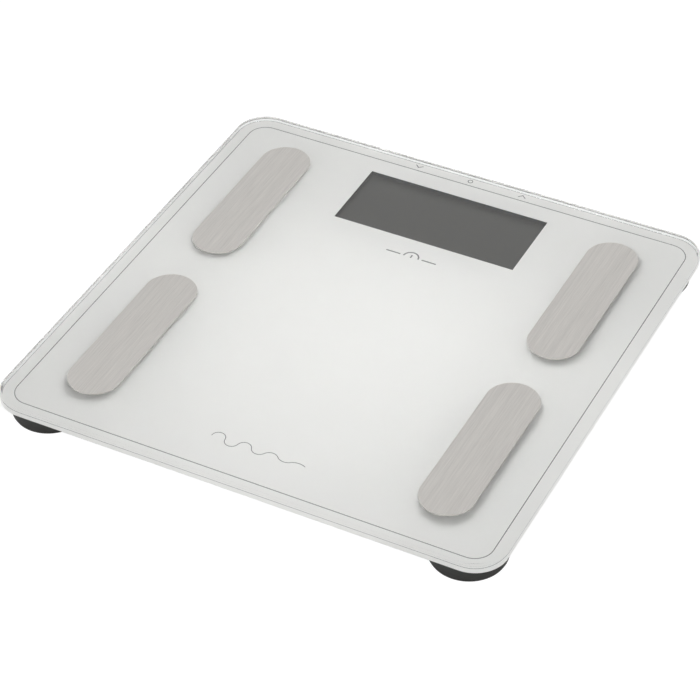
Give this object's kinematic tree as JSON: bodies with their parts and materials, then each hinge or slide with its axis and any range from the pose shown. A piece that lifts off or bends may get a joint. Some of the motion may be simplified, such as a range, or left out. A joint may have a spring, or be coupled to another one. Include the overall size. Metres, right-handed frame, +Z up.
{
  "type": "digital bathroom scale",
  "caption": "Square glass bathroom scale with a grey display window, stadium-shaped steel electrodes on top, rear keys and round black load-cell feet.",
  "frame": {"origin": "on the floor under the middle of the plate", "axes": "+Z up; +Y away from the user, towards the display side; +X to the user's right"},
  "size_m": [0.3, 0.3, 0.0192],
  "materials": {
    "clear_glass": "polished clear tempered glass",
    "white_enamel": "white screen-printed back coat",
    "grey_ink": "thin grey printed line",
    "grey_foam_tape": "foam mounting tape",
    "stud_steel": "plain steel stud",
    "tinned_brass": "tinned",
    "grey_wire": "insulated wire",
    "red_wire": "insulated wire",
    "white_shell": "fine-textured moulded shell",
    "screw_steel": "zinc-plated",
    "black_frame": "satin black moulding",
    "display_glass": "dark display face under a polariser",
    "display_back": "display rear pane",
    "zebra_rubber": "striped contact rubber",
    "board_laminate": "solder-masked glass-epoxy",
    "chip_resin": "moulded resin",
    "header_nylon": "natural nylon",
    "switch_body": "black switch body",
    "dark_key": "satin black button",
    "light_key": "satin light grey key",
    "spring_brass": "spring brass",
    "cell_steel": "nickel-plated cell can",
    "gauge_film": "polyimide film",
    "brushed_pad_steel": "brushed stainless, grain along the length",
    "channel_plastic": "thin moulded strip",
    "black_foot_plastic": "satin black moulding",
    "load_cell_steel": "stamped steel",
    "foot_rubber": "soft black rubber"
  },
  "bodies": {
    "scale": {"glass_plate": "clear_glass", "white_enamel": "white_enamel", "border_line": "grey_ink", "key_icons": "grey_ink", "dial_mark": "grey_ink", "wave_mark": "grey_ink", "electrode_tapes": "grey_foam_tape", "electrode_studs": "stud_steel", "stud_nuts": "stud_steel", "ring_terminals": "tinned_brass", "electrode_wires": "grey_wire", "load_cell_wires": "red_wire", "mounting_tapes": "grey_foam_tape", "housing_tray": "white_shell", "housing_cover": "white_shell", "housing_screws": "screw_steel", "lcd_bezel": "black_frame", "lcd_front_pane": "display_glass", "lcd_back_pane": "display_back", "zebra_strips": "zebra_rubber", "circuit_board": "board_laminate", "board_screws": "screw_steel", "controller_chip": "chip_resin", "amplifier_chip": "chip_resin", "wire_headers": "header_nylon", "key_switches": "switch_body", "unit_dome": "spring_brass", "coin_cells": "cell_steel", "cell_top_contacts": "spring_brass", "cell_side_contacts": "spring_brass", "strain_gauges": "gauge_film", "electrode_front_left": "brushed_pad_steel", "cable_channel_front_left": "channel_plastic", "foot_base_front_left": "black_foot_plastic", "load_cell_front_left": "load_cell_steel", "foot_cap_front_left": "black_foot_plastic", "foot_pad_front_left": "foot_rubber", "electrode_front_right": "brushed_pad_steel", "cable_channel_front_right": "channel_plastic", "foot_base_front_right": "black_foot_plastic", "load_cell_front_right": "load_cell_steel", "foot_cap_front_right": "black_foot_plastic", "foot_pad_front_right": "foot_rubber", "electrode_back_left": "brushed_pad_steel", "cable_channel_back_left": "channel_plastic", "foot_base_back_left": "black_foot_plastic", "load_cell_back_left": "load_cell_steel", "foot_cap_back_left": "black_foot_plastic", "foot_pad_back_left": "foot_rubber", "electrode_back_right": "brushed_pad_steel", "cable_channel_back_right": "channel_plastic", "foot_base_back_right": "black_foot_plastic", "load_cell_back_right": "load_cell_steel", "foot_cap_back_right": "black_foot_plastic", "foot_pad_back_right": "foot_rubber"},
    "key_down": {"key_down": "light_key"},
    "key_set": {"key_set": "light_key"},
    "key_up": {"key_up": "light_key"},
    "unit_button": {"unit_button": "dark_key"},
    "battery_door": {"battery_door": "white_shell"}
  },
  "joints": [
    {"name": "key_down_press", "type": "slide", "parent": "scale", "child": "key_down", "axis": [0, -1, 0], "range_m": [0, 0.0005], "stiffness_N_per_m": 400, "springref_m": -0.001},
    {"name": "key_set_press", "type": "slide", "parent": "scale", "child": "key_set", "axis": [0, -1, 0], "range_m": [0, 0.0005], "stiffness_N_per_m": 400, "springref_m": -0.001},
    {"name": "key_up_press", "type": "slide", "parent": "scale", "child": "key_up", "axis": [0, -1, 0], "range_m": [0, 0.0005], "stiffness_N_per_m": 400, "springref_m": -0.001},
    {"name": "unit_button_press", "type": "slide", "parent": "scale", "child": "unit_button", "axis": [0, 0, 1], "range_m": [0, 0.0003], "stiffness_N_per_m": 400, "springref_m": -0.001},
    {"name": "battery_door_slide", "type": "slide", "parent": "scale", "child": "battery_door", "axis": [0, -1, 0], "range_m": [0, 0.036]}
  ]
}
